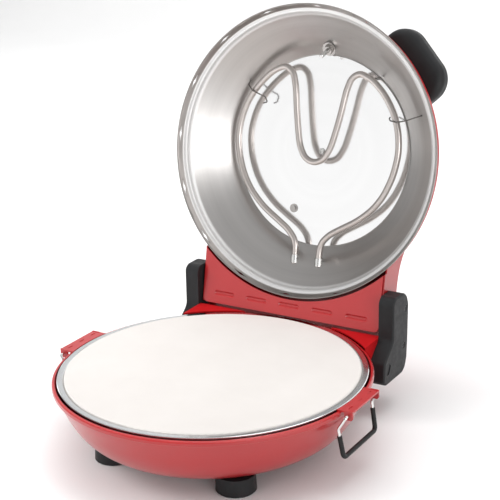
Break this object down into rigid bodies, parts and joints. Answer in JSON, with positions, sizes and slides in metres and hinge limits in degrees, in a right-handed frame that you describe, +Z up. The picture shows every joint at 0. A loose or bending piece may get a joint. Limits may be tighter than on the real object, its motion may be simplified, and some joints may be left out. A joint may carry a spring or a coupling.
{
  "type": "countertop pizza oven",
  "caption": "Round countertop pizza oven with a red painted bowl on short feet, a pale baking stone and a hinged domed lid with a heating element inside, shown standing open.",
  "frame": {"origin": "on the table under the middle of the oven's outline with its lid open", "axes": "+Z up, front towards -Y, hinge towards +Y, side handles along X"},
  "size_m": [0.349, 0.4451, 0.4244],
  "materials": {
    "red_paint": "gloss",
    "screw_steel": "bright",
    "galvanised_plate": "satin",
    "black_plastic": "matte",
    "element_steel": "satin",
    "insulator_ceramic": "matte",
    "terminal_plastic": "matte",
    "tray_chrome": "polished",
    "baking_stone": "matte",
    "dark_screws": "black oxide",
    "bail_wire": "bright",
    "grip_sleeve": "matte",
    "reflector_steel": "satin, spun",
    "reflector_mirror": "mirror"
  },
  "bodies": {
    "base": {"bowl": "red_paint", "rear_deck": "red_paint", "deck_screws": "screw_steel", "bottom_cover": "galvanised_plate", "cover_screws": "screw_steel", "feet": "black_plastic", "standoffs": "galvanised_plate", "foot_screws": "screw_steel", "base_pan": "galvanised_plate", "lower_element": "element_steel", "lower_sleeves": "insulator_ceramic", "lower_clips": "galvanised_plate", "thermostat": "terminal_plastic", "tray": "tray_chrome", "stone": "baking_stone", "terminal_block": "terminal_plastic", "cable_gland": "black_plastic", "block_right": "black_plastic", "block_left": "black_plastic", "block_covers": "black_plastic", "block_screws": "dark_screws", "hinge_pins": "screw_steel", "bracket_right": "red_paint", "bracket_left": "red_paint"},
    "lid": {"lid_shell": "red_paint", "lid_panel": "red_paint", "reflector": "reflector_steel", "reflector_top": "reflector_mirror", "top_screw": "screw_steel", "top_rivet": "screw_steel", "upper_element": "element_steel", "element_collars": "screw_steel", "element_sleeves": "insulator_ceramic", "hanger_left": "bail_wire", "hanger_right": "bail_wire", "hanger_top": "bail_wire", "lid_bolt_washer": "screw_steel", "lid_bolt_nut": "screw_steel", "lid_bolt_stud": "screw_steel", "handle": "black_plastic", "handle_screws": "screw_steel"},
    "bail_right": {"bail_right": "bail_wire", "bail_grip_right": "grip_sleeve"},
    "bail_left": {"bail_left": "bail_wire", "bail_grip_left": "grip_sleeve"}
  },
  "joints": [
    {"name": "lid_hinge", "type": "hinge", "parent": "base", "child": "lid", "pos_m": [0, 0.1096, 0.0986], "axis": [1, 0, 0], "range_deg": [0, 101.6]},
    {"name": "right_bail", "type": "hinge", "parent": "base", "child": "bail_right", "pos_m": [0.17, -0.058, 0.078], "axis": [0, -1, 0], "range_deg": [-22, 100]},
    {"name": "left_bail", "type": "hinge", "parent": "base", "child": "bail_left", "pos_m": [-0.17, -0.058, 0.078], "axis": [0, 1, 0], "range_deg": [-22, 100]}
  ]
}
